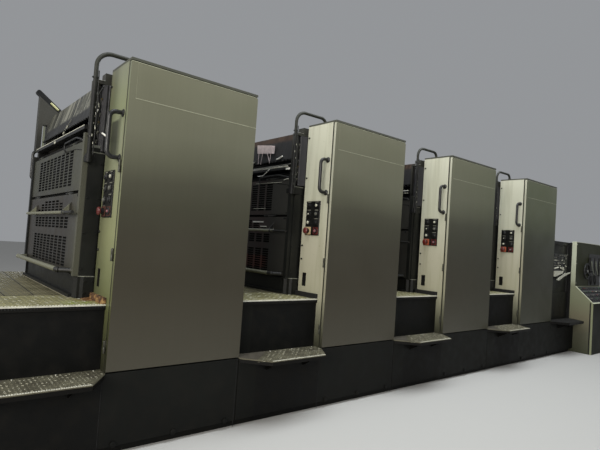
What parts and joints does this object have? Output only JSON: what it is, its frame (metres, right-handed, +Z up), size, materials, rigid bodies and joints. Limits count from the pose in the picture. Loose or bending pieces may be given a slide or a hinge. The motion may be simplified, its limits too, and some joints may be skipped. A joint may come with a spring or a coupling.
{
  "type": "offset printing press",
  "caption": "Line of printing units on a dark base, with hinged front doors, slotted swing-up guards, landings between the units and a side console.",
  "frame": {"origin": "on the floor at the middle of the base", "axes": "+X along the line from the left end to the console, +Y from the front doors to the drive side, +Z up"},
  "size_m": [6.825, 2.2485, 2.0075],
  "materials": {
    "base_paint": "satin",
    "landing_plate": "worn",
    "step_plate": "worn",
    "frame_paint": "satin",
    "pale_paint": "satin",
    "door_metal": "satin",
    "guard_paint": "satin",
    "fountain_steel": "worn",
    "roller_rubber": "smooth",
    "black_plastic": "matte",
    "hose_rubber": "matte"
  },
  "bodies": {
    "press": {"base": "base_paint", "risers": "base_paint", "landing_plates": "landing_plate", "step_plates": "step_plate", "unit_1_frame": "frame_paint", "unit_1_front_housing": "pale_paint", "unit_1_ink_fountain": "fountain_steel", "unit_1_ink_rollers": "roller_rubber", "unit_1_rear_cover": "pale_paint", "unit_2_frame": "frame_paint", "unit_2_front_housing": "pale_paint", "unit_2_ink_fountain": "fountain_steel", "unit_2_ink_rollers": "roller_rubber", "unit_2_rear_cover": "pale_paint", "unit_3_frame": "frame_paint", "unit_3_front_housing": "pale_paint", "unit_3_ink_fountain": "fountain_steel", "unit_3_ink_rollers": "roller_rubber", "unit_3_rear_cover": "pale_paint", "unit_4_frame": "frame_paint", "unit_4_front_housing": "pale_paint", "unit_4_ink_fountain": "fountain_steel", "unit_4_ink_rollers": "roller_rubber", "unit_4_rear_cover": "pale_paint", "grab_handles": "black_plastic", "switch_panels": "black_plastic", "hoses": "hose_rubber", "delivery_frame": "frame_paint", "delivery_body": "frame_paint", "key_panel": "black_plastic", "console_cabinet": "pale_paint", "console_upright": "pale_paint", "console_buttons": "black_plastic", "hand_wheel": "black_plastic"},
    "unit_1_door": {"unit_1_front_door": "door_metal"},
    "unit_1_upper": {"unit_1_upper_guard": "guard_paint"},
    "unit_1_lower": {"unit_1_lower_guard": "guard_paint"},
    "unit_2_door": {"unit_2_front_door": "door_metal"},
    "unit_2_upper": {"unit_2_upper_guard": "guard_paint"},
    "unit_2_lower": {"unit_2_lower_guard": "guard_paint"},
    "unit_3_door": {"unit_3_front_door": "door_metal"},
    "unit_3_upper": {"unit_3_upper_guard": "guard_paint"},
    "unit_3_lower": {"unit_3_lower_guard": "guard_paint"},
    "unit_4_door": {"unit_4_front_door": "door_metal"},
    "unit_4_upper": {"unit_4_upper_guard": "guard_paint"},
    "unit_4_lower": {"unit_4_lower_guard": "guard_paint"}
  },
  "joints": [
    {"name": "unit_1_door_hinge", "type": "hinge", "parent": "press", "child": "unit_1_door", "pos_m": [-2.3945, -0.9225, 0.93], "axis": [0, 0, -1], "range_deg": [0, 100]},
    {"name": "unit_1_upper_hinge", "type": "hinge", "parent": "press", "child": "unit_1_upper", "pos_m": [-2.476, 0, 1.5], "axis": [0, 1, 0], "range_deg": [0, 80]},
    {"name": "unit_1_lower_hinge", "type": "hinge", "parent": "press", "child": "unit_1_lower", "pos_m": [-2.476, 0, 1.23], "axis": [0, 1, 0], "range_deg": [0, 75]},
    {"name": "unit_2_door_hinge", "type": "hinge", "parent": "press", "child": "unit_2_door", "pos_m": [-1.0445, -0.9225, 0.93], "axis": [0, 0, -1], "range_deg": [0, 100]},
    {"name": "unit_2_upper_hinge", "type": "hinge", "parent": "press", "child": "unit_2_upper", "pos_m": [-1.126, 0, 1.5], "axis": [0, 1, 0], "range_deg": [0, 80]},
    {"name": "unit_2_lower_hinge", "type": "hinge", "parent": "press", "child": "unit_2_lower", "pos_m": [-1.126, 0, 1.23], "axis": [0, 1, 0], "range_deg": [0, 75]},
    {"name": "unit_3_door_hinge", "type": "hinge", "parent": "press", "child": "unit_3_door", "pos_m": [0.3055, -0.9225, 0.93], "axis": [0, 0, -1], "range_deg": [0, 100]},
    {"name": "unit_3_upper_hinge", "type": "hinge", "parent": "press", "child": "unit_3_upper", "pos_m": [0.224, 0, 1.5], "axis": [0, 1, 0], "range_deg": [0, 80]},
    {"name": "unit_3_lower_hinge", "type": "hinge", "parent": "press", "child": "unit_3_lower", "pos_m": [0.224, 0, 1.23], "axis": [0, 1, 0], "range_deg": [0, 75]},
    {"name": "unit_4_door_hinge", "type": "hinge", "parent": "press", "child": "unit_4_door", "pos_m": [1.6555, -0.9225, 0.93], "axis": [0, 0, -1], "range_deg": [0, 100]},
    {"name": "unit_4_upper_hinge", "type": "hinge", "parent": "press", "child": "unit_4_upper", "pos_m": [1.574, 0, 1.5], "axis": [0, 1, 0], "range_deg": [0, 80]},
    {"name": "unit_4_lower_hinge", "type": "hinge", "parent": "press", "child": "unit_4_lower", "pos_m": [1.574, 0, 1.23], "axis": [0, 1, 0], "range_deg": [0, 75]}
  ]
}
